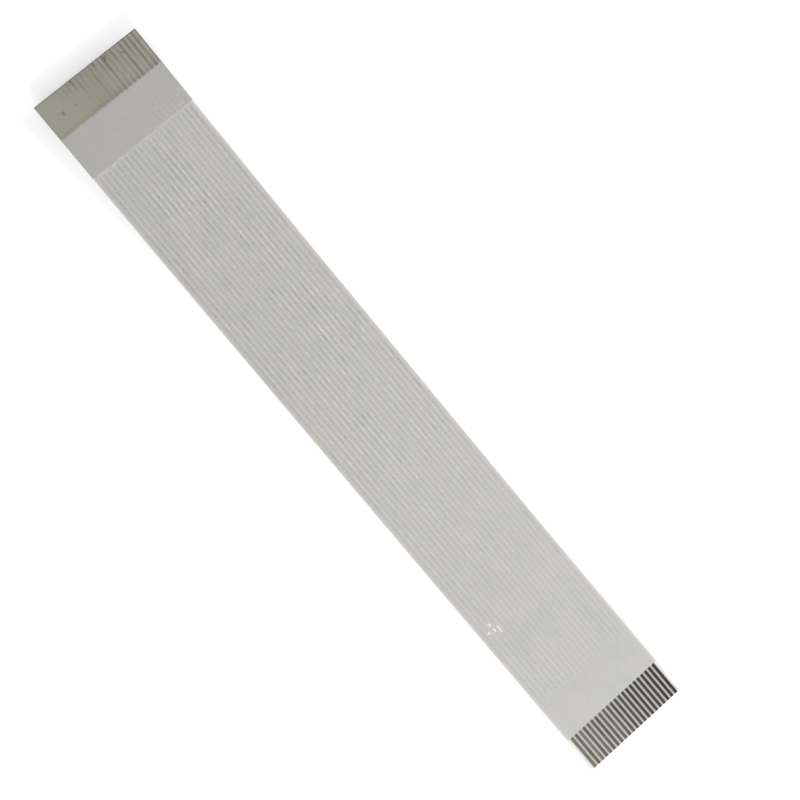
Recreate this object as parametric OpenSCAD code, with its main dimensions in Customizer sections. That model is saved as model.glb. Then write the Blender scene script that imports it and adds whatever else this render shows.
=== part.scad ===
// Flat flex cable. Flat tinned conductors lie side by side between two white insulation
// tapes, and a stiffener tape backs the bare contacts at each end. The contacts face up at
// the +X end and down at the -X end. The cable lies on its flat middle, and curves a little
// upwards to two straight ends.

/* [Cable] */
// Length along the cable, from tip to tip
cable_length = 80; // [60:1:200]
// Number of conductors
conductor_count = 22; // [4:1:50]
// Distance between the centres of neighbouring conductors
pitch = 0.5; // [0.5:0.05:1.25]
// Distance from a side edge to the centre of the outermost conductor
edge_margin = 0.5; // [0.4:0.05:1]

/* [Conductors] */
// Width of a conductor
conductor_w = 0.3; // [0.2:0.01:0.35]
// Thickness of a conductor
conductor_t = 0.05; // [0.03:0.005:0.1]

/* [Insulation tapes] */
// Thickness of an insulation tape, with its adhesive
tape_t = 0.06; // [0.04:0.01:0.12]
// Width by which the ridge over a conductor stands out past each side of the conductor
ridge_side_w = 0.03; // [0.01:0.01:0.06]
// Length over which the ridges fade out before the end that has its contacts on that side
ridge_fade_l = 6; // [1:0.5:10]

/* [Ends] */
// Length of the bare contacts
contact_l = 3.7; // [2:0.1:6]
// Length of a stiffener tape
stiffener_l = 8; // [7:0.5:12]
// Thickness of a stiffener tape, with its adhesive
stiffener_t = 0.25; // [0.15:0.01:0.4]
// Length of the slope where a stiffener steps down from the insulation to the contacts
stiffener_step_l = 0.5; // [0.1:0.1:1]

/* [Bow] */
// Angle to which the cable rises at each end
bow_angle = 3.2; // [1:0.1:4]
// Radius of the curved stretches between the flat middle and the straight ends
bow_r = 250; // [100:10:280]

/* [Hidden] */
// Angle between neighbouring facets of a curved stretch
facet_angle = 0.8;

cable_w = (conductor_count - 1) * pitch + 2 * edge_margin;
first_y = -(conductor_count - 1) * pitch / 2;
ridge_w = conductor_w + 2 * ridge_side_w;

// Heights above the cable's middle plane
seat_z = conductor_t / 2;
hollow_z = tape_t;
ridge_z = seat_z + tape_t;

// Distances along the cable from its middle
tip_s = cable_length / 2;
tape_end_s = tip_s - contact_l;
stiffener_s = tip_s - stiffener_l;
curve_end_s = stiffener_s - ridge_fade_l;
curve_start_s = curve_end_s - bow_r * bow_angle * PI / 180;

curve_facets = ceil(bow_angle / facet_angle);
curve_stations = concat(
    [for (i = [0 : curve_facets - 1])
        curve_start_s + (curve_end_s - curve_start_s) * i / curve_facets],
    [curve_end_s]
);

function conductor_y(i) = first_y + (i - 1) * pitch;
function conductor_name(i) = str("conductor_", i < 10 ? "0" : "", i);

// The place, seen from the side, at a distance s along the cable and a height above its
// middle plane
function place(s, height) =
    let (
        in_curve = min(max(abs(s) - curve_start_s, 0), curve_end_s - curve_start_s),
        rise = in_curve / bow_r * 180 / PI,
        flat = min(abs(s), curve_start_s),
        straight = max(abs(s) - curve_end_s, 0),
        x = flat + bow_r * sin(rise) + straight * cos(rise) - height * sin(rise),
        z = bow_r * (1 - cos(rise)) + straight * sin(rise) + height * cos(rise)
    )
    [sign(s) * x, ridge_z + z];

function reversed(list) = [for (i = [len(list) - 1 : -1 : 0]) list[i]];

// Distances at which a layer bends, and those given on its straight ends, for both halves
function stations(on_ends) =
    let (half = concat(curve_stations, on_ends))
    concat([for (s = reversed(half)) -s], half);

// Makes a side profile as wide as given
module across(width) {
    rotate([90, 0, 0]) linear_extrude(width, center = true) children();
}

// A layer between two heights, that follows the bow and has the last of its stations as ends
module layer(on_ends, low, high, width) {
    along = stations(on_ends);
    across(width)
        polygon(concat(
            [for (s = along) place(s, low)],
            [for (s = reversed(along)) place(s, high)]
        ));
}

module conductor(i) {
    color([0.52, 0.51, 0.47]) translate([0, conductor_y(i), 0])
        layer([tip_s], -seat_z, seat_z, conductor_w);
}

// An insulation tape without its ridges, on one face of the cable (1 is the upper face, -1
// the lower). It is thicker where the hollows are filled: abruptly where its stiffener
// starts, and over a fading length towards the bare contacts at its other end
module plain_tape(face) {
    across(cable_w)
        polygon(concat(
            [for (s = stations([stiffener_s, tape_end_s])) place(face * s, 0)],
            [place(face * tape_end_s, face * ridge_z), place(face * stiffener_s, face * ridge_z)],
            [for (s = reversed(stations([]))) place(face * s, face * hollow_z)],
            [
                place(-face * stiffener_s, face * hollow_z),
                place(-face * stiffener_s, face * ridge_z),
                place(-face * tape_end_s, face * ridge_z)
            ]
        ));
}

module film(face) {
    color([0.8, 0.79, 0.77]) difference() {
        union() {
            plain_tape(face);
            for (i = [1 : conductor_count])
                translate([0, conductor_y(i), 0])
                    layer([stiffener_s, tape_end_s], 0, face * ridge_z, ridge_w);
        }
        for (i = [1 : conductor_count]) conductor(i);
    }
}

// The stiffener of the upper face is at the -X end, and that of the lower face at the +X end
module stiffener(face) {
    side = -face;
    color([0.86, 0.87, 0.85]) across(cable_w)
        polygon([
            place(side * stiffener_s, face * ridge_z),
            place(side * tape_end_s, face * ridge_z),
            place(side * tape_end_s, face * seat_z),
            place(side * tip_s, face * seat_z),
            place(side * tip_s, face * (seat_z + stiffener_t)),
            place(side * (tape_end_s + stiffener_step_l), face * (seat_z + stiffener_t)),
            place(side * tape_end_s, face * (ridge_z + stiffener_t)),
            place(side * stiffener_s, face * (ridge_z + stiffener_t))
        ]);
}

for (i = [1 : conductor_count])
    conductor(i);
film(1);  // upper_film
film(-1);  // lower_film
stiffener(1);  // upper_stiffener
stiffener(-1);  // lower_stiffener
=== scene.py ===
import math

import bmesh
import bpy
from mathutils import Matrix, Vector


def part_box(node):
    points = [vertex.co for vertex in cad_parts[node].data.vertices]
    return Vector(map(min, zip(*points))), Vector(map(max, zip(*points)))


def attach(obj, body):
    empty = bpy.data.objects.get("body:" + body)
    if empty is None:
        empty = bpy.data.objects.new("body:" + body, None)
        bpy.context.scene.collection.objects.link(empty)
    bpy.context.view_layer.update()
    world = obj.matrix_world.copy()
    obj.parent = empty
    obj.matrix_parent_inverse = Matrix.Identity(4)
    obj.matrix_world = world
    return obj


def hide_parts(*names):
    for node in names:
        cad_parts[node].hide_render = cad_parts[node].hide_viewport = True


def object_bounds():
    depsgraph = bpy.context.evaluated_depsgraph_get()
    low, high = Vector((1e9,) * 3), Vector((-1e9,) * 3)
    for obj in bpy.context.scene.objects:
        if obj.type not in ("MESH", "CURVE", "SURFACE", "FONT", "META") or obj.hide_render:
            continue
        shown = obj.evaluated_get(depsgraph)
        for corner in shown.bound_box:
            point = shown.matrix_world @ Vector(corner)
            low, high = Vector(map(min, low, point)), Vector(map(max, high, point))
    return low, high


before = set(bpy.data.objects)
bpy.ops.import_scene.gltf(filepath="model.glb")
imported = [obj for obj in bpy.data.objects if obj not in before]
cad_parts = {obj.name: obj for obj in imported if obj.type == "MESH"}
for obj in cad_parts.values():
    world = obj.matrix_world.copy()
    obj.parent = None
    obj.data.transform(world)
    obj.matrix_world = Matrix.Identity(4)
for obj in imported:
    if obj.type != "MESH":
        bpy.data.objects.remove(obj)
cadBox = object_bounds()

# The route that the cable lies on, as in the CAD source, in metres
cable = {
    "length": 0.080,
    "bowAngle": math.radians(3.2),
    "bowRadius": 0.250,
    "contactLength": 0.0037,
    "stiffenerLength": 0.008,
    "ridgeFadeLength": 0.006,
    "stripThickness": 0.00005,
    "tapeThickness": 0.00006,
    "stiffenerThickness": 0.00025,
    "stiffenerStep": 0.0005,
}

conductorNames = sorted(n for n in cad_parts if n.startswith("conductor_"))
firstLow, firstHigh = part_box(conductorNames[0])
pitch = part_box(conductorNames[1])[0].y - firstLow.y
stripWidth = firstHigh.y - firstLow.y
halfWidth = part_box("upper_film")[1].y

tipS = cable["length"] / 2
tapeEndS = tipS - cable["contactLength"]
stiffenerS = tipS - cable["stiffenerLength"]
curveEndS = stiffenerS - cable["ridgeFadeLength"]
curveStartS = curveEndS - cable["bowRadius"] * cable["bowAngle"]
seatHeight = cable["stripThickness"] / 2
ridgeHeight = seatHeight + cable["tapeThickness"]
middleZ = cadBox[0].z + ridgeHeight


def placeAt(s, y, height):
    # s runs along the cable from its middle, height stands off its middle plane
    inCurve = min(max(abs(s) - curveStartS, 0), curveEndS - curveStartS)
    rise = inCurve / cable["bowRadius"]
    straight = max(abs(s) - curveEndS, 0)
    x = min(abs(s), curveStartS) + cable["bowRadius"] * math.sin(rise)
    x += straight * math.cos(rise) - height * math.sin(rise)
    z = cable["bowRadius"] * (1 - math.cos(rise)) + straight * math.sin(rise)
    z += height * math.cos(rise)
    return Vector((math.copysign(x, s), y, middleZ + z))


# The camera stands above the cable and looks almost straight down
view = {
    "place": (-0.01481, -0.01444, 0.13341),
    "look": (0.1182, 0.1282, -0.9847),
    "up": (-0.7638, 0.6454, -0.0076),
    "lens": 65.15,
    "sensor": 36,
    "clip": (0.005, 10),
}


def addCamera():
    back = -Vector(view["look"]).normalized()
    right = Vector(view["up"]).cross(back).normalized()
    up = back.cross(right)
    data = bpy.data.cameras.new("tableCamera")
    data.lens = view["lens"]
    data.sensor_width = view["sensor"]
    data.clip_start, data.clip_end = view["clip"]
    camera = bpy.data.objects.new("tableCamera", data)
    turn = Matrix((right, up, back)).transposed()
    camera.matrix_world = Matrix.Translation(view["place"]) @ turn.to_4x4()
    bpy.context.scene.collection.objects.link(camera)
    bpy.context.scene.camera = camera


addCamera()
print("camera placed")


def addNode(tree, kind, settings=None, **values):
    # i0, i1 and so on are inputs by number, other words are inputs by name
    node = tree.nodes.new(kind)
    for name, value in (settings or {}).items():
        setattr(node, name, value)
    for key, value in values.items():
        index = int(key[1:]) if key[0] == "i" and key[1:].isdigit() else key.replace("_", " ")
        target = node.inputs[index]
        if isinstance(value, bpy.types.NodeSocket):
            tree.links.new(value, target)
        else:
            target.default_value = value
    return node


def maths(tree, operation, *operands):
    values = {"i" + str(index): value for index, value in enumerate(operands)}
    return addNode(tree, "ShaderNodeMath", {"operation": operation}, **values).outputs[0]


def ramp(tree, value, fromLow, fromHigh, toLow=0.0, toHigh=1.0, smooth=True):
    node = addNode(
        tree, "ShaderNodeMapRange",
        {"interpolation_type": "SMOOTHSTEP" if smooth else "LINEAR"},
        i0=value, i1=fromLow, i2=fromHigh, i3=toLow, i4=toHigh,
    )
    return node.outputs[0]


def mixValue(tree, factor, first, second):
    node = addNode(
        tree, "ShaderNodeMix", {"data_type": "FLOAT"}, i0=factor, i2=first, i3=second,
    )
    return node.outputs[0]


def newTree(name, inputs):
    tree = bpy.data.node_groups.new(name, "GeometryNodeTree")
    tree.interface.new_socket("Geometry", in_out="OUTPUT", socket_type="NodeSocketGeometry")
    for label, kind in inputs:
        tree.interface.new_socket(label, in_out="INPUT", socket_type=kind)
    given = tree.nodes.new("NodeGroupInput")
    result = tree.nodes.new("NodeGroupOutput")
    return tree, {s.name: s for s in given.outputs if s.name}, result


def finishTree(tree, geometry, material, result):
    realized = addNode(tree, "GeometryNodeRealizeInstances", i0=geometry)
    painted = addNode(
        tree, "GeometryNodeSetMaterial", Geometry=realized.outputs[0], Material=material,
    )
    tree.links.new(painted.outputs[0], result.inputs[0])


def plainMesh(name, tree, values):
    # runs the tree on an empty mesh, and keeps its result as a mesh of its own
    holder = bpy.data.objects.new(name + "Maker", bpy.data.meshes.new(name + "Maker"))
    bpy.context.scene.collection.objects.link(holder)
    modifier = holder.modifiers.new("maker", "NODES")
    modifier.node_group = tree
    for item in tree.interface.items_tree:
        if item.in_out == "INPUT" and item.name in values:
            modifier[item.identifier] = values[item.name]
    evaluated = holder.evaluated_get(bpy.context.evaluated_depsgraph_get())
    mesh = bpy.data.meshes.new_from_object(evaluated)
    mesh.name = name
    holder.modifiers.clear()
    bpy.data.objects.remove(holder)
    piece = bpy.data.objects.new(name, mesh)
    bpy.context.scene.collection.objects.link(piece)
    return piece


weldDistance = 2e-7
sharpAngle = math.radians(50)


def faceOutwards(piece):
    work = bmesh.new()
    work.from_mesh(piece.data)
    bmesh.ops.remove_doubles(work, verts=work.verts, dist=weldDistance)
    bmesh.ops.recalc_face_normals(work, faces=work.faces)
    for edge in work.edges:
        edge.smooth = len(edge.link_faces) == 2 and edge.calc_face_angle() < sharpAngle
    work.to_mesh(piece.data)
    work.free()
    for polygon in piece.data.polygons:
        polygon.use_smooth = True


def bowedPosition(tree, s, y, height, given):
    # the same route as placeAt(), as a field
    distance = maths(tree, "ABSOLUTE", s)
    curve = maths(tree, "SUBTRACT", given["Curve End"], given["Curve Start"])
    past = maths(tree, "SUBTRACT", distance, given["Curve Start"])
    inCurve = maths(tree, "MINIMUM", maths(tree, "MAXIMUM", past, 0.0), curve)
    rise = maths(tree, "DIVIDE", inCurve, given["Bow Radius"])
    pastCurve = maths(tree, "SUBTRACT", distance, given["Curve End"])
    straight = maths(tree, "MAXIMUM", pastCurve, 0.0)
    sine, cosine = maths(tree, "SINE", rise), maths(tree, "COSINE", rise)
    x = maths(tree, "MINIMUM", distance, given["Curve Start"])
    x = maths(tree, "MULTIPLY_ADD", given["Bow Radius"], sine, x)
    x = maths(tree, "MULTIPLY_ADD", straight, cosine, x)
    x = maths(tree, "SUBTRACT", x, maths(tree, "MULTIPLY", height, sine))
    x = maths(tree, "MULTIPLY", x, maths(tree, "SIGN", s))
    z = maths(tree, "MULTIPLY", given["Bow Radius"], maths(tree, "SUBTRACT", 1.0, cosine))
    z = maths(tree, "MULTIPLY_ADD", straight, sine, z)
    z = maths(tree, "MULTIPLY_ADD", height, cosine, z)
    z = maths(tree, "ADD", z, given["Middle Height"])
    return addNode(tree, "ShaderNodeCombineXYZ", i0=x, i1=y, i2=z).outputs[0]


routeInputs = [
    ("Curve Start", "NodeSocketFloat"),
    ("Curve End", "NodeSocketFloat"),
    ("Bow Radius", "NodeSocketFloat"),
    ("Middle Height", "NodeSocketFloat"),
    ("Pitch", "NodeSocketFloat"),
    ("Strip Width", "NodeSocketFloat"),
    ("Strip Thickness", "NodeSocketFloat"),
]
routeValues = {
    "Curve Start": curveStartS,
    "Curve End": curveEndS,
    "Bow Radius": cable["bowRadius"],
    "Middle Height": middleZ,
    "Pitch": pitch,
    "Strip Width": stripWidth,
    "Strip Thickness": cable["stripThickness"],
}


def wrappedGrid(tree, rows, columns):
    # a flat grid, with the row and the column of each point counted from 0
    grid = addNode(
        tree, "GeometryNodeMeshGrid",
        Size_X=maths(tree, "SUBTRACT", rows, 1.0), Size_Y=maths(tree, "SUBTRACT", columns, 1.0),
        Vertices_X=rows, Vertices_Y=columns,
    ).outputs["Mesh"]
    place = addNode(tree, "GeometryNodeInputPosition").outputs[0]
    apart = addNode(tree, "ShaderNodeSeparateXYZ", i0=place)
    places = []
    for axis, count in ((0, rows), (1, columns)):
        half = maths(tree, "MULTIPLY", maths(tree, "SUBTRACT", count, 1.0), 0.5)
        places.append(maths(tree, "ROUND", maths(tree, "ADD", apart.outputs[axis], half)))
    return grid, places[0], places[1]


def alongRows(tree, row, rows, halfLength):
    # the first and last rows stand on their neighbours and close the ends
    steps = maths(tree, "SUBTRACT", rows, 3.0)
    share = maths(tree, "DIVIDE", maths(tree, "SUBTRACT", row, 1.0), steps)
    share = maths(tree, "MINIMUM", maths(tree, "MAXIMUM", share, 0.0), 1.0)
    share = maths(tree, "SUBTRACT", maths(tree, "MULTIPLY", share, 2.0), 1.0)
    s = maths(tree, "MULTIPLY", share, halfLength)
    first = maths(tree, "LESS_THAN", row, 0.5)
    last = maths(tree, "GREATER_THAN", row, maths(tree, "SUBTRACT", rows, 1.5))
    return s, maths(tree, "MAXIMUM", first, last)


# Tinned strips: one strip with rolled edges, repeated over the pitch
strips = {"rows": 72, "ringPoints": 12, "roundness": 0.35, "toneSpread": 0.16, "seed": 4}


def buildStripTree():
    tree, given, result = newTree("tinnedStrips", routeInputs + [
        ("Half Length", "NodeSocketFloat"),
        ("Rows", "NodeSocketInt"),
        ("Ring Points", "NodeSocketInt"),
        ("Roundness", "NodeSocketFloat"),
        ("Count", "NodeSocketInt"),
        ("Tone Spread", "NodeSocketFloat"),
        ("Seed", "NodeSocketInt"),
        ("Material", "NodeSocketMaterial"),
    ])
    columns = maths(tree, "ADD", given["Ring Points"], 1.0)
    grid, row, column = wrappedGrid(tree, given["Rows"], columns)
    s, onEnd = alongRows(tree, row, given["Rows"], given["Half Length"])
    turn = maths(tree, "DIVIDE", column, given["Ring Points"])
    angle = maths(tree, "MULTIPLY", turn, 2 * math.pi)
    sides = []
    for wanted, size in (("COSINE", given["Strip Width"]), ("SINE", given["Strip Thickness"])):
        wave = maths(tree, wanted, angle)
        blunt = maths(tree, "POWER", maths(tree, "ABSOLUTE", wave), given["Roundness"])
        # a low power of almost nothing is large, so points on an axis are kept on it
        offAxis = maths(tree, "GREATER_THAN", maths(tree, "ABSOLUTE", wave), 0.001)
        blunt = maths(tree, "MULTIPLY", blunt, offAxis)
        blunt = maths(tree, "MULTIPLY", blunt, maths(tree, "SIGN", wave))
        sides.append(maths(tree, "MULTIPLY", maths(tree, "MULTIPLY", blunt, size), 0.5))
    height = maths(tree, "MULTIPLY", sides[1], maths(tree, "SUBTRACT", 1.0, onEnd))
    shaped = addNode(
        tree, "GeometryNodeSetPosition", Geometry=grid,
        Position=bowedPosition(tree, s, sides[0], height, given),
    ).outputs[0]
    closed = addNode(
        tree, "GeometryNodeMergeByDistance", Geometry=shaped, Distance=weldDistance,
    ).outputs[0]
    firstY = maths(tree, "MULTIPLY", maths(tree, "SUBTRACT", given["Count"], 1.0), -0.5)
    firstY = maths(tree, "MULTIPLY", firstY, given["Pitch"])
    start = addNode(tree, "ShaderNodeCombineXYZ", i1=firstY).outputs[0]
    step = addNode(tree, "ShaderNodeCombineXYZ", i1=given["Pitch"]).outputs[0]
    line = addNode(
        tree, "GeometryNodeMeshLine", {"mode": "OFFSET"},
        Count=given["Count"], Start_Location=start, Offset=step,
    ).outputs[0]
    placed = addNode(tree, "GeometryNodeInstanceOnPoints", Points=line, Instance=closed).outputs[0]
    # each strip is a little lighter or darker than the next
    tone = addNode(
        tree, "FunctionNodeRandomValue", {"data_type": "FLOAT"},
        i2=-1.0, i3=1.0, Seed=given["Seed"],
    )
    spread = maths(tree, "MULTIPLY", tone.outputs[1], given["Tone Spread"])
    marked = addNode(
        tree, "GeometryNodeStoreNamedAttribute", {"data_type": "FLOAT", "domain": "INSTANCE"},
        Geometry=placed, Name="stripTone",
    )
    stored = next(i for i in marked.inputs if i.name == "Value" and i.enabled)
    tree.links.new(spread, stored)
    finishTree(tree, marked.outputs[0], given["Material"], result)
    return tree


# Insulation tapes: each one is drawn down between the strips, which leaves ridges on it
tapes = {
    "rows": 176, "columnsPerPitch": 8,
    "ridgeFlank": (0.42, 0.75), "seatFlank": (0.45, 0.6),  # in strip widths from its middle
    "fillLength": 0.0003,
    "fadeOffset": 0.0010, "fadeSoftness": 0.0022,
    "fadeWander": 0.0044, "wanderScale": 0.37,
    "unevenness": 2.5e-6, "bumpsAlong": 700.0, "bumpsAcross": 2600.0,
    "edgeDroop": 2.2e-5, "edgeDroopWidth": 1.8e-4,
}


def buildTapeTree():
    tree, given, result = newTree("ridgedTape", routeInputs + [
        ("Half Length", "NodeSocketFloat"),
        ("Half Width", "NodeSocketFloat"),
        ("Tape Thickness", "NodeSocketFloat"),
        ("Stiffener Start", "NodeSocketFloat"),
        ("Fade Wander", "NodeSocketFloat"),
        ("Fade Softness", "NodeSocketFloat"),
        ("Unevenness", "NodeSocketFloat"),
        ("Edge Droop", "NodeSocketFloat"),
        ("Edge Droop Width", "NodeSocketFloat"),
        ("Face", "NodeSocketFloat"),
        ("Rows", "NodeSocketInt"),
        ("Columns", "NodeSocketInt"),
        ("Seed", "NodeSocketFloat"),
        ("Material", "NodeSocketMaterial"),
    ])
    across = given["Columns"]
    around = maths(tree, "MULTIPLY_ADD", across, 2.0, 3.0)
    grid, row, column = wrappedGrid(tree, given["Rows"], around)
    s, onEnd = alongRows(tree, row, given["Rows"], given["Half Length"])
    column = maths(tree, "MODULO", column, maths(tree, "SUBTRACT", around, 1.0))
    onOuter = maths(tree, "LESS_THAN", column, maths(tree, "ADD", across, 0.5))
    width = maths(tree, "MULTIPLY", given["Half Width"], 2.0)
    there = maths(tree, "DIVIDE", maths(tree, "MULTIPLY", width, column), across)
    outerY = maths(tree, "SUBTRACT", there, given["Half Width"])
    back = maths(tree, "SUBTRACT", maths(tree, "SUBTRACT", column, across), 1.0)
    back = maths(tree, "DIVIDE", maths(tree, "MULTIPLY", width, back), across)
    innerY = maths(tree, "SUBTRACT", given["Half Width"], back)
    y = mixValue(tree, onOuter, innerY, outerY)

    # how far a point is from the middle of the nearest strip, in pitches
    turns = maths(tree, "DIVIDE", y, given["Pitch"])
    away = maths(tree, "ABSOLUTE", maths(tree, "SUBTRACT", maths(tree, "FRACT", turns), 0.5))
    stripShare = maths(tree, "DIVIDE", given["Strip Width"], given["Pitch"])
    halfPitch = maths(tree, "MULTIPLY", given["Pitch"], 0.5)
    rim = maths(tree, "SUBTRACT", given["Half Width"], halfPitch)
    inside = maths(tree, "LESS_THAN", maths(tree, "ABSOLUTE", y), rim)
    ridge, seat = (
        maths(tree, "MULTIPLY", inside, ramp(
            tree, away, maths(tree, "MULTIPLY", stripShare, top),
            maths(tree, "MULTIPLY", stripShare, foot), 1.0, 0.0,
        ))
        for top, foot in (tapes["ridgeFlank"], tapes["seatFlank"])
    )

    # hollows fill up under the stiffener, and fade towards the bare contacts
    which = maths(tree, "FLOOR", turns)
    toContacts = maths(tree, "MULTIPLY", s, given["Face"])
    spot = addNode(tree, "ShaderNodeCombineXYZ", i0=which, i1=given["Seed"]).outputs[0]
    wander = addNode(
        tree, "ShaderNodeTexNoise", {"noise_dimensions": "2D"},
        Vector=spot, Scale=tapes["wanderScale"],
    ).outputs[0]
    shift = maths(tree, "MULTIPLY", maths(tree, "SUBTRACT", wander, 0.5), given["Fade Wander"])
    fadeEnd = maths(tree, "ADD", given["Stiffener Start"], tapes["fadeOffset"])
    fadeEnd = maths(tree, "ADD", fadeEnd, shift)
    fadeStart = maths(tree, "SUBTRACT", fadeEnd, given["Fade Softness"])
    fading = ramp(tree, toContacts, fadeStart, fadeEnd)
    covered = ramp(
        tree, maths(tree, "MULTIPLY", toContacts, -1.0),
        given["Stiffener Start"], maths(tree, "ADD", given["Stiffener Start"], tapes["fillLength"]),
    )
    filled = maths(tree, "MAXIMUM", fading, covered)
    lift = maths(tree, "MAXIMUM", ridge, filled)

    # the outer side is slightly uneven, and droops at the side edges
    stretched = addNode(
        tree, "ShaderNodeCombineXYZ",
        i0=maths(tree, "MULTIPLY", s, tapes["bumpsAlong"]),
        i1=maths(tree, "MULTIPLY", y, tapes["bumpsAcross"]), i2=given["Seed"],
    ).outputs[0]
    uneven = addNode(
        tree, "ShaderNodeTexNoise", {"noise_dimensions": "3D"},
        Vector=stretched, Scale=1.0, Detail=2.0,
    ).outputs[0]
    bumps = maths(tree, "MULTIPLY", maths(tree, "SUBTRACT", uneven, 0.5), given["Unevenness"])
    nearEdge = maths(tree, "SUBTRACT", given["Half Width"], given["Edge Droop Width"])
    droop = ramp(tree, maths(tree, "ABSOLUTE", y), nearEdge, given["Half Width"])
    droop = maths(tree, "MULTIPLY", droop, given["Edge Droop"])

    halfStrip = maths(tree, "MULTIPLY", given["Strip Thickness"], 0.5)
    outer = maths(tree, "MULTIPLY_ADD", halfStrip, lift, given["Tape Thickness"])
    outer = maths(tree, "SUBTRACT", maths(tree, "ADD", outer, bumps), droop)
    inner = maths(tree, "MULTIPLY", halfStrip, seat)
    height = mixValue(tree, onOuter, inner, outer)
    middle = maths(tree, "MULTIPLY", maths(tree, "ADD", outer, inner), 0.5)
    height = mixValue(tree, onEnd, height, middle)
    height = maths(tree, "MULTIPLY", height, given["Face"])
    shaped = addNode(
        tree, "GeometryNodeSetPosition", Geometry=grid,
        Position=bowedPosition(tree, s, y, height, given),
    ).outputs[0]
    closed = addNode(
        tree, "GeometryNodeMergeByDistance", Geometry=shaped, Distance=weldDistance,
    ).outputs[0]
    finishTree(tree, closed, given["Material"], result)
    return tree


# Materials, all patterned on Object coordinates
def newMaterial(name):
    material = bpy.data.materials.new(name)
    material.use_nodes = True
    tree = material.node_tree
    coords = addNode(tree, "ShaderNodeTexCoord").outputs["Object"]
    apart = addNode(tree, "ShaderNodeSeparateXYZ", i0=coords)
    return material, tree, coords, apart.outputs


def noise(tree, coords, pattern):
    # a pattern's scale is given along the cable and across it, in repeats per metre
    along, across = pattern["scale"]
    stretched = addNode(
        tree, "ShaderNodeMapping", Vector=coords, Scale=(along, across, along),
    ).outputs[0]
    return addNode(
        tree, "ShaderNodeTexNoise", {"noise_dimensions": "3D"}, Vector=stretched, Scale=1.0,
        Detail=pattern.get("detail", 2.0), Roughness=pattern.get("roughness", 0.5),
    ).outputs[0]


def patches(tree, coords, pattern):
    # a noise between two of its levels, brought to what the pattern gives there
    value = noise(tree, coords, pattern)
    return ramp(tree, value, *pattern["levels"], *pattern.get("gives", (0.0, 1.0)))


def vary(tree, light, value, spread):
    # adds a noise's swing about its middle to a brightness
    return maths(tree, "MULTIPLY_ADD", maths(tree, "SUBTRACT", value, 0.5), spread, light)


def stripWave(tree, y):
    # 1 midway between two strips, -1 along the middle of a strip
    return maths(tree, "COSINE", maths(tree, "MULTIPLY", y, 2 * math.pi / pitch))


def mixColour(tree, factor, first, second, mode="MIX"):
    node = addNode(tree, "ShaderNodeMix", {"data_type": "RGBA", "blend_type": mode}, i0=factor)
    for index, colour in ((6, first), (7, second)):
        if isinstance(colour, bpy.types.NodeSocket):
            tree.links.new(colour, node.inputs[index])
        else:
            node.inputs[index].default_value = (*colour, 1.0)
    return node.outputs[2]


def toLinear(red, green, blue):
    return tuple(((v / 255 + 0.055) / 1.055) ** 2.4 for v in (red, green, blue))


def brighten(tree, colour, factor):
    # multiplies a colour by a factor that varies over the surface
    grey = addNode(tree, "ShaderNodeCombineColor", i0=factor, i1=factor, i2=factor).outputs[0]
    return mixColour(tree, 1.0, colour, grey, "MULTIPLY")


def finishMaterial(tree, look, colour, sheen, height):
    # sheen is the noise that makes the finish duller in places
    shader = tree.nodes["Principled BSDF"]
    tree.links.new(colour, shader.inputs["Base Color"])
    tree.links.new(ramp(tree, sheen, 0.3, 0.7, *look["roughness"]), shader.inputs["Roughness"])
    shader.inputs["Metallic"].default_value = look["metallic"]
    shader.inputs["Specular IOR Level"].default_value = look["specular"]
    bump = addNode(
        tree, "ShaderNodeBump", Height=height, Distance=look["bumpHeight"], Strength=1.0,
    )
    tree.links.new(bump.outputs[0], shader.inputs["Normal"])


tapeFinish = {
    "colour": toLinear(202, 200, 196),
    "warmColour": toLinear(204, 200, 196), "warmLevels": (0.36, 0.48),
    "coolColour": toLinear(198, 199, 195), "coolLevels": (0.5, 0.62),
    "hue": {"scale": (330.0, 420.0)},
    "edgeGlowColour": toLinear(226, 224, 220), "edgeGlowWidth": 0.00028,
    "stripShadow": 0.115, "stripShadowLeast": 0.05, "stripShadowStretch": (0.0, 0.018),
    "lineStart": 0.0006, "lineEnd": 0.001,
    "patches": {"scale": (90.0, 260.0), "levels": (0.3, 0.7), "gives": (0.65, 1.3)},
    "breaks": {"scale": (520.0, 2600.0), "levels": (0.32, 0.68), "gives": (0.55, 1.45)},
    "dots": {"scale": (3000.0, 4200.0), "detail": 1.0, "levels": (0.5, 0.68), "gives": (0.75, 1.7)},
    "cloud": {"scale": (240.0, 420.0), "detail": 3.0}, "cloudSpread": 0.06,
    "grain": {"scale": (5200.0, 5200.0), "roughness": 0.6}, "grainSpread": 0.20,
    "drawnLines": {"scale": (900.0, 9000.0)}, "drawnShare": 0.6,
    "roughness": (0.45, 0.56), "metallic": 0.0, "specular": 0.35, "bumpHeight": 2.5e-6,
    # painted highlights: short white glints, each as x, y, half length and half width
    "paintedGlints": (
        (0.02295, -0.00427, 0.00022, 0.00007), (0.02362, -0.00420, 0.00026, 0.00007),
        (0.02386, -0.00375, 0.00042, 0.00008), (0.02352, -0.00478, 0.00020, 0.00007),
    ),
    "paintedGlintEdge": (0.4, 1.5),
    "paintedGlintColour": toLinear(252, 252, 250),
}


def glintMask(tree, xyz, look):
    # painted highlights: short white glints painted into the colour where small marks in the tape
    # caught the light, each given by its middle and half its sizes
    mask = 0.0
    for x, y, halfLong, halfWide in look["paintedGlints"]:
        along = maths(tree, "DIVIDE", maths(tree, "SUBTRACT", xyz[0], x), halfLong)
        across = maths(tree, "DIVIDE", maths(tree, "SUBTRACT", xyz[1], y), halfWide)
        away = maths(tree, "MULTIPLY_ADD", along, along, maths(tree, "MULTIPLY", across, across))
        one = ramp(tree, away, *look["paintedGlintEdge"], 1.0, 0.0)
        mask = maths(tree, "MAXIMUM", mask, one)
    return mask


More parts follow.
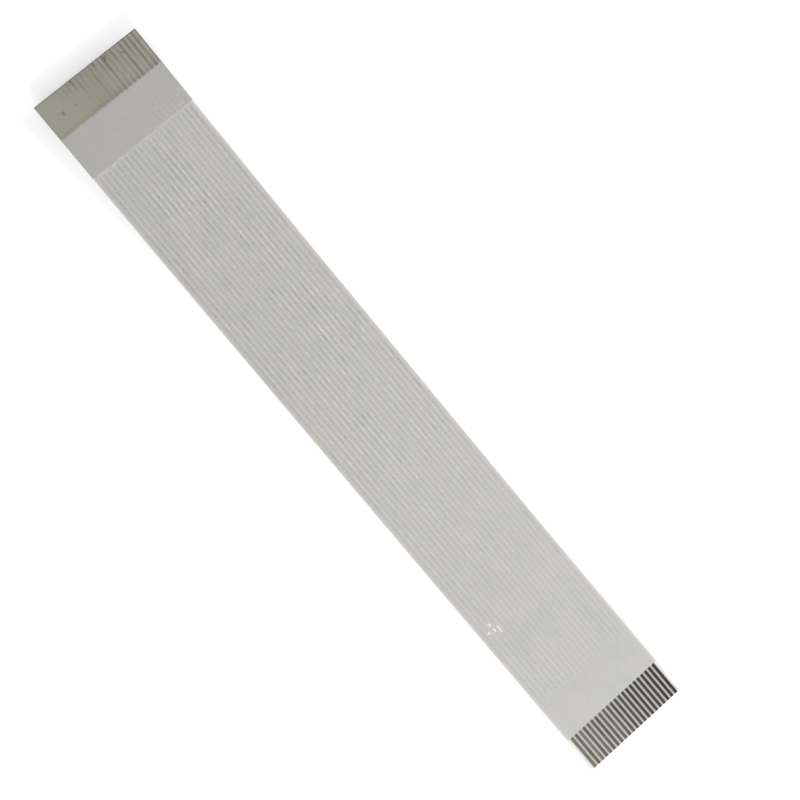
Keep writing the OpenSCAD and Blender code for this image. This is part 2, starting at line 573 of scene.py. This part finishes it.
def tapeMaterial():
    material, tree, coords, xyz = newMaterial("insulationTape")
    look = tapeFinish
    # partly the strips showing through the thin tape, partly painted shade and light of the ridges:
    # darker bands along the strips, lighter in the hollows
    depth = ramp(
        tree, xyz[0], *look["stripShadowStretch"],
        look["stripShadow"], look["stripShadowLeast"],
    )
    for name in ("patches", "breaks"):
        depth = maths(tree, "MULTIPLY", depth, patches(tree, coords, look[name]))
    fromMiddle = maths(tree, "ABSOLUTE", xyz[1])
    onStrips = maths(tree, "LESS_THAN", fromMiddle, halfWidth - pitch / 2)
    begun = ramp(tree, xyz[0], -stiffenerS, -stiffenerS + look["lineStart"])
    onStrips = maths(tree, "MULTIPLY", onStrips, begun)
    goesOn = ramp(
        tree, xyz[0], stiffenerS - look["lineEnd"], stiffenerS + look["lineEnd"], 1.0, 0.0,
    )
    onStrips = maths(tree, "MULTIPLY", onStrips, goesOn)
    # fine dots sharpen each line: painted highlights as light dots in the hollows, dark ones along
    # the strips
    dotted = maths(tree, "MULTIPLY", onStrips, patches(tree, coords, look["dots"]))
    wave = stripWave(tree, xyz[1])
    bands = maths(tree, "MULTIPLY", maths(tree, "MULTIPLY", wave, depth), dotted)
    cloud = noise(tree, coords, look["cloud"])
    grain = noise(tree, coords, look["grain"])
    light = maths(tree, "ADD", 1.0, bands)
    light = vary(tree, light, cloud, look["cloudSpread"])
    light = vary(tree, light, grain, look["grainSpread"])
    hue = noise(tree, coords, look["hue"])
    cool = ramp(tree, hue, *look["coolLevels"])
    tint = mixColour(tree, cool, look["colour"], look["coolColour"])
    warm = ramp(tree, hue, *look["warmLevels"], 1.0, 0.0)
    tint = mixColour(tree, warm, tint, look["warmColour"])
    # the margins past the outermost strips are painted lighter, near white: painted light of the
    # white backdrop bleeding over the side edges
    bare = ramp(tree, fromMiddle, halfWidth - look["edgeGlowWidth"], halfWidth)
    tint = mixColour(tree, bare, tint, look["edgeGlowColour"])
    tint = brighten(tree, tint, light)
    # painted highlights: a few short glints are painted white into the tape's colour
    tint = mixColour(tree, glintMask(tree, xyz, look), tint, look["paintedGlintColour"])
    drawn = maths(tree, "MULTIPLY", noise(tree, coords, look["drawnLines"]), look["drawnShare"])
    height = maths(tree, "ADD", drawn, maths(tree, "MULTIPLY", grain, 1 - look["drawnShare"]))
    finishMaterial(tree, look, tint, cloud, height)
    return material


# Lengths along count from the tip or from the tape's end, places across from the middle
stiffenerFinish = {
    "milkyColour": toLinear(193, 191, 186),
    "gapColour": toLinear(200, 198, 193), "marginGlowColour": toLinear(240, 239, 236),
    "marginWidth": 0.00036, "sideBlur": 0.001,
    "edgeScallop": 0.00003, "edgeWobble": 0.00022, "edgeBlur": 0.00007,
    "wobble": {"scale": (500.0, 1900.0)},
    "stripColour": toLinear(134, 129, 120), "stripLevels": (0.5, -0.7),
    "wettedAcross": (-0.0030, 0.0052),
    "nearTipLength": 0.0022, "nearTipAcross": (-0.0042, -0.0010),
    "streaks": {
        "scale": (420.0, 3000.0), "detail": 3.0, "levels": (0.35, 0.62), "gives": (0.25, 1.1),
    },
    "oliveColour": toLinear(167, 166, 152), "brownColour": toLinear(164, 157, 144),
    "brown": {"scale": (260.0, 420.0), "levels": (0.40, 0.62)},
    "brownAcross": (-0.0035, 0.0005),
    "floorLightGapColour": toLinear(170, 167, 159),
    "floorLightGapLevels": (0.2, 0.9), "floorLightGapAcross": (0.0018, 0.0050),
    "speckColour": toLinear(92, 90, 82),
    "specks": {"scale": (1300.0, 1900.0), "detail": 1.0},
    "speckLevels": (0.71, 0.78), "speckNearTip": 0.07, "speckStrength": 0.55,
    "tipLine": (0.00005, 0.00018), "tipLineStrength": 0.45,
    "printedAlong": (0.0012, 0.0040), "printedAcross": (-0.0030, 0.0045),
    "printedSpread": 0.035,
    "bubbles": {"scale": (3600.0, 3600.0), "detail": 1.0, "levels": (0.55, 0.75)},
    "bubbleLight": 0.16,
    "cloud": {"scale": (420.0, 700.0), "detail": 3.0}, "cloudSpread": 0.08,
    "grain": {"scale": (6000.0, 6000.0), "roughness": 0.6}, "grainSpread": 0.14,
    "roughness": (0.38, 0.50), "metallic": 0.0, "specular": 0.35, "bumpHeight": 1.5e-6,
}


def overContactsColour(tree, coords, xyz, look, wave):
    # bare strips behind this tape show where the glue has wetted them, most at one side
    tipX = placeAt(-tipS, 0, 0).x
    wetted = ramp(tree, xyz[1], *look["wettedAcross"])
    nearTip = ramp(tree, xyz[0], tipX, tipX + look["nearTipLength"], 1.0, 0.0)
    tipReach = maths(tree, "MULTIPLY", nearTip, ramp(tree, xyz[1], *look["nearTipAcross"]))
    reach = maths(tree, "MINIMUM", maths(tree, "ADD", wetted, tipReach), 1.0)
    bands = maths(tree, "MULTIPLY", ramp(tree, wave, *look["stripLevels"]), reach)
    bands = maths(tree, "MULTIPLY", bands, patches(tree, coords, look["streaks"]))
    brown = patches(tree, coords, look["brown"])
    brown = maths(tree, "MULTIPLY", brown, ramp(tree, xyz[1], *look["brownAcross"]))
    colour = mixColour(tree, brown, look["oliveColour"], look["brownColour"])
    # painted light: the gaps between the strips are lighter towards +y, standing for light from the
    # floor below showing through
    gaps = ramp(tree, wave, *look["floorLightGapLevels"])
    gaps = maths(tree, "MULTIPLY", gaps, ramp(tree, xyz[1], *look["floorLightGapAcross"]))
    colour = mixColour(tree, gaps, colour, look["floorLightGapColour"])
    colour = mixColour(tree, bands, colour, look["stripColour"])
    specks = noise(tree, coords, look["specks"])
    specks = maths(tree, "MULTIPLY_ADD", nearTip, look["speckNearTip"], specks)
    specks = ramp(tree, specks, *look["speckLevels"])
    specks = maths(tree, "MULTIPLY", specks, look["speckStrength"])
    colour = mixColour(tree, specks, colour, look["speckColour"])
    lineFrom, lineTo = (tipX + length for length in look["tipLine"])
    tipLine = ramp(tree, xyz[0], lineFrom, lineTo, look["tipLineStrength"], 0.0)
    return mixColour(tree, tipLine, colour, look["speckColour"])


def overTapeColour(tree, coords, xyz, look, wave, tapeEndX):
    # near its inner end the ridges below print through, with fine bubbles between them
    printedFrom, printedTo = (tapeEndX + length for length in look["printedAlong"])
    printed = ramp(tree, xyz[0], printedFrom, printedTo)
    printed = maths(tree, "MULTIPLY", printed, ramp(tree, xyz[1], *look["printedAcross"]))
    bubbles = maths(tree, "MULTIPLY", patches(tree, coords, look["bubbles"]), printed)
    lines = maths(tree, "MULTIPLY", wave, printed)
    light = maths(tree, "MULTIPLY_ADD", lines, look["printedSpread"], 1.0)
    light = maths(tree, "MULTIPLY_ADD", bubbles, look["bubbleLight"], light)
    return brighten(tree, look["milkyColour"], light)


def stiffenerMaterial():
    material, tree, coords, xyz = newMaterial("stiffenerTape")
    look = stiffenerFinish
    wave = stripWave(tree, xyz[1])
    tapeEndX = placeAt(-tapeEndS, 0, ridgeHeight).x
    edge = maths(tree, "MULTIPLY_ADD", wave, look["edgeScallop"], xyz[0])
    edge = vary(tree, edge, noise(tree, coords, look["wobble"]), look["edgeWobble"])
    overContacts = ramp(tree, edge, tapeEndX + look["edgeBlur"], tapeEndX - look["edgeBlur"])

    # the other stiffener shows its inner side between the bare contacts
    marginEdge = halfWidth - look["marginWidth"]
    fromMiddle = maths(tree, "ABSOLUTE", xyz[1])
    # painted light: the side margins are painted near white, as the white backdrop bleeding over
    # the edges
    margin = ramp(tree, fromMiddle, marginEdge, halfWidth - look["marginWidth"] / 2)
    gapSide = mixColour(tree, margin, look["gapColour"], look["marginGlowColour"])
    front = overTapeColour(tree, coords, xyz, look, wave, tapeEndX)
    front = mixColour(tree, ramp(tree, xyz[0], 0.0, look["sideBlur"]), front, gapSide)
    behind = overContactsColour(tree, coords, xyz, look, wave)
    colour = mixColour(tree, overContacts, front, behind)
    cloud = noise(tree, coords, look["cloud"])
    grain = noise(tree, coords, look["grain"])
    light = vary(tree, vary(tree, 1.0, cloud, look["cloudSpread"]), grain, look["grainSpread"])
    finishMaterial(
        tree, look, brighten(tree, colour, light), cloud, maths(tree, "ADD", grain, cloud),
    )
    return material


tinFinish = {
    # painted reflection: the silvery tin is painted dark grey, as if mirroring dark surroundings,
    # lighter at -y and darker at +y
    "paintedReflectionLeft": toLinear(102, 100, 92), "paintedReflectionRight": toLinear(60, 58, 57),
    "paintedReflectionAcross": (-0.0045, 0.0050),
    "streaks": {"scale": (500.0, 9000.0), "detail": 3.0}, "streakSpread": 0.4,
    "blotch": {"scale": (900.0, 1500.0)}, "blotchSpread": 0.35,
    "roughness": (0.37, 0.55), "metallic": 1.0, "specular": 0.5, "bumpHeight": 1.5e-6,
}


def tinMaterial():
    material, tree, coords, xyz = newMaterial("tinPlate")
    look = tinFinish
    # painted reflection: the colour darkens towards +y, where the tin mirrors something darker
    side = ramp(tree, xyz[1], *look["paintedReflectionAcross"], smooth=False)
    colour = mixColour(tree, side, look["paintedReflectionLeft"], look["paintedReflectionRight"])
    streaks = noise(tree, coords, look["streaks"])
    blotch = noise(tree, coords, look["blotch"])
    tone = addNode(tree, "ShaderNodeAttribute", {"attribute_name": "stripTone"}).outputs["Fac"]
    light = maths(tree, "ADD", 1.0, tone)
    light = vary(tree, light, streaks, look["streakSpread"])
    light = vary(tree, light, blotch, look["blotchSpread"])
    finishMaterial(tree, look, brighten(tree, colour, light), blotch, streaks)
    return material


tapeLook = tapeMaterial()
stiffenerLook = stiffenerMaterial()
tinLook = tinMaterial()
print("materials made")

# The pieces, each with its place in its own mesh
stripPiece = plainMesh("tinnedStrips", buildStripTree(), {
    **routeValues,
    "Half Length": tipS, "Rows": strips["rows"], "Ring Points": strips["ringPoints"],
    "Roundness": strips["roundness"], "Count": len(conductorNames),
    "Tone Spread": strips["toneSpread"], "Seed": strips["seed"], "Material": tinLook,
})
faceOutwards(stripPiece)
print("strips made", len(stripPiece.data.polygons))

tapeTree = buildTapeTree()
tapePieces = {}
for name, face, seed in (("upperTape", 1.0, 3.0), ("lowerTape", -1.0, 8.0)):
    tapePieces[name] = plainMesh(name, tapeTree, {
        **routeValues,
        "Half Length": tapeEndS, "Half Width": halfWidth, "Tape Thickness": cable["tapeThickness"],
        "Stiffener Start": stiffenerS, "Fade Wander": tapes["fadeWander"],
        "Fade Softness": tapes["fadeSoftness"], "Unevenness": tapes["unevenness"],
        "Edge Droop": tapes["edgeDroop"], "Edge Droop Width": tapes["edgeDroopWidth"],
        "Face": face, "Rows": tapes["rows"],
        "Columns": round(2 * halfWidth / pitch) * tapes["columnsPerPitch"],
        "Seed": seed, "Material": tapeLook,
    })
    faceOutwards(tapePieces[name])
print("tapes made", len(tapePieces["upperTape"].data.polygons))

# Stiffener tapes: each steps down where the insulation below it ends
stiffeners = {
    "rows": 96, "columns": 184, "corner": 1.2e-5, "cornerShare": 0.3, "stepLead": 0.0001,
}


def smoothStep(value, low, high):
    share = min(max((value - low) / (high - low), 0.0), 1.0)
    return share * share * (3 - 2 * share)


def roundedSteps(low, high, count):
    # even steps, with two more at each end for a rounded corner
    corner = stiffeners["corner"]
    first = corner * stiffeners["cornerShare"]
    even = [low + (high - low) * i / count for i in range(1, count)]
    return [low, low + first, low + corner, *even, high - corner, high - first, high]


def makeStiffener(name, face):
    # a closed layer: its outer side, a rim, and the side that lies on the tape and the strips
    work = bmesh.new()
    side = -face
    corner = stiffeners["corner"]
    outerRows = roundedSteps(stiffenerS, tipS, stiffeners["rows"])
    innerRows = [
        (stiffenerS, ridgeHeight), (tapeEndS, ridgeHeight),
        (tapeEndS, seatHeight), (tipS, seatHeight),
    ]
    ys = roundedSteps(-halfWidth, halfWidth, stiffeners["columns"])

    def outerHeight(s, y):
        stepStart = tapeEndS - stiffeners["stepLead"]
        step = smoothStep(s, stepStart, tapeEndS + cable["stiffenerStep"])
        top = cable["stiffenerThickness"] + ridgeHeight + (seatHeight - ridgeHeight) * step
        edge = min(halfWidth - abs(y), tipS - s, s - stiffenerS)
        if edge < corner:
            top -= corner * (1 - math.sqrt(1 - (1 - edge / corner) ** 2))
        return top

    def pointAt(s, y, height):
        return work.verts.new(placeAt(side * s, y, face * height))

    outer = [[pointAt(s, y, outerHeight(s, y)) for y in ys] for s in outerRows]
    inner = [[pointAt(s, y, height) for y in (ys[0], ys[-1])] for s, height in innerRows]
    for grid in (outer, inner):
        for rowA, rowB in zip(grid, grid[1:]):
            for j in range(len(rowA) - 1):
                work.faces.new((rowA[j], rowA[j + 1], rowB[j + 1], rowB[j]))
    for j in (0, -1):
        rim = [row[j] for row in outer]
        foot = [row[j] for row in inner]
        work.faces.new(rim + foot[::-1])
    for i in (0, -1):
        work.faces.new(outer[i] + inner[i][::-1])
    bmesh.ops.recalc_face_normals(work, faces=work.faces)
    for edge in work.edges:
        edge.smooth = edge.calc_face_angle() < sharpAngle
    mesh = bpy.data.meshes.new(name)
    work.to_mesh(mesh)
    work.free()
    piece = bpy.data.objects.new(name, mesh)
    bpy.context.scene.collection.objects.link(piece)
    mesh.materials.append(stiffenerLook)
    for polygon in mesh.polygons:
        polygon.use_smooth = len(polygon.vertices) == 4
    return piece


upperStiffener = makeStiffener("upperStiffener", 1)
lowerStiffener = makeStiffener("lowerStiffener", -1)
print("stiffeners made")

for piece, nodes, slot in (
    (stripPiece, conductorNames, "tinned_copper"),
    (tapePieces["upperTape"], ["upper_film"], "insulation_film"),
    (tapePieces["lowerTape"], ["lower_film"], "insulation_film"),
    (upperStiffener, ["upper_stiffener"], "stiffener_film"),
    (lowerStiffener, ["lower_stiffener"], "stiffener_film"),
):
    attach(piece, "root")
    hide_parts(*nodes)

pathSteps = 40
path = [placeAt(tipS * (2 * i / pathSteps - 1), 0, 0) for i in range(pathSteps + 1)]
print("pieces on the frame")

# Floor, lamps and world. The floor's lift keeps it white as the lamps fall off with distance
studio = {
    "floorSize": 2.4, "floorGap": 0.00001, "floorColour": (0.86, 0.86, 0.86, 1),
    "floorLiftNear": 0.50, "floorLiftFar": 0.78, "floorLiftStretch": (0.06, 0.35),
    "worldStrength": 0.30, "white": (1, 1, 1, 1),
    "sideLamp": {"place": (0.0, 0.13, 0.09), "size": 0.10, "power": 0.115},
    "endLamp": {"place": (0.17, -0.06, 0.11), "size": 0.12, "power": 0.315},
}


def whiteForCamera(tree, plain, white):
    rays = addNode(tree, "ShaderNodeLightPath").outputs
    seen = maths(tree, "MAXIMUM", rays["Is Glossy Ray"], rays["Is Transmission Ray"])
    seen = maths(tree, "MAXIMUM", rays["Is Camera Ray"], seen)
    return addNode(tree, "ShaderNodeMixShader", i0=seen, i1=plain, i2=white).outputs[0]


def addFloor():
    half = studio["floorSize"] / 2
    mesh = bpy.data.meshes.new("tableTop")
    level = cadBox[0].z - studio["floorGap"]
    corners = ((-half, -half), (half, -half), (half, half), (-half, half))
    mesh.from_pydata([(x, y, level) for x, y in corners], [], [(0, 1, 2, 3)])
    floor = bpy.data.objects.new("tableTop", mesh)
    bpy.context.scene.collection.objects.link(floor)
    material = bpy.data.materials.new("paleTable")
    material.use_nodes = True
    tree = material.node_tree
    tree.nodes.clear()
    diffuse = addNode(tree, "ShaderNodeBsdfDiffuse", Color=studio["floorColour"]).outputs[0]
    coords = addNode(tree, "ShaderNodeTexCoord").outputs["Object"]
    away = addNode(tree, "ShaderNodeVectorMath", {"operation": "LENGTH"}, i0=coords)
    lift = ramp(
        tree, away.outputs["Value"], *studio["floorLiftStretch"],
        studio["floorLiftNear"], studio["floorLiftFar"],
    )
    glow = addNode(tree, "ShaderNodeEmission", Color=studio["white"], Strength=lift).outputs[0]
    both = addNode(tree, "ShaderNodeAddShader", i0=diffuse, i1=glow).outputs[0]
    end = tree.nodes.new("ShaderNodeOutputMaterial")
    tree.links.new(whiteForCamera(tree, diffuse, both), end.inputs[0])
    mesh.materials.append(material)


def addLamp(name):
    data = bpy.data.lights.new(name, "AREA")
    data.shape = "SQUARE"
    data.size = studio[name]["size"]
    data.energy = studio[name]["power"]
    lamp = bpy.data.objects.new(name, data)
    lamp.location = studio[name]["place"]
    lamp.rotation_euler = (-lamp.location).to_track_quat("-Z", "Y").to_euler()
    lamp.visible_camera = False
    bpy.context.scene.collection.objects.link(lamp)


def addWorld():
    world = bpy.data.worlds.new("studio")
    bpy.context.scene.world = world
    world.use_nodes = True
    tree = world.node_tree
    tree.nodes.clear()
    plain, white = (
        addNode(
            tree, "ShaderNodeBackground", Color=studio["white"], Strength=strength,
        ).outputs[0]
        for strength in (studio["worldStrength"], 1.0)
    )
    end = tree.nodes.new("ShaderNodeOutputWorld")
    tree.links.new(whiteForCamera(tree, plain, white), end.inputs[0])


addFloor()
addLamp("sideLamp")
addLamp("endLamp")
addWorld()
bpy.context.scene.view_settings.view_transform = "Standard"
print("studio lit")
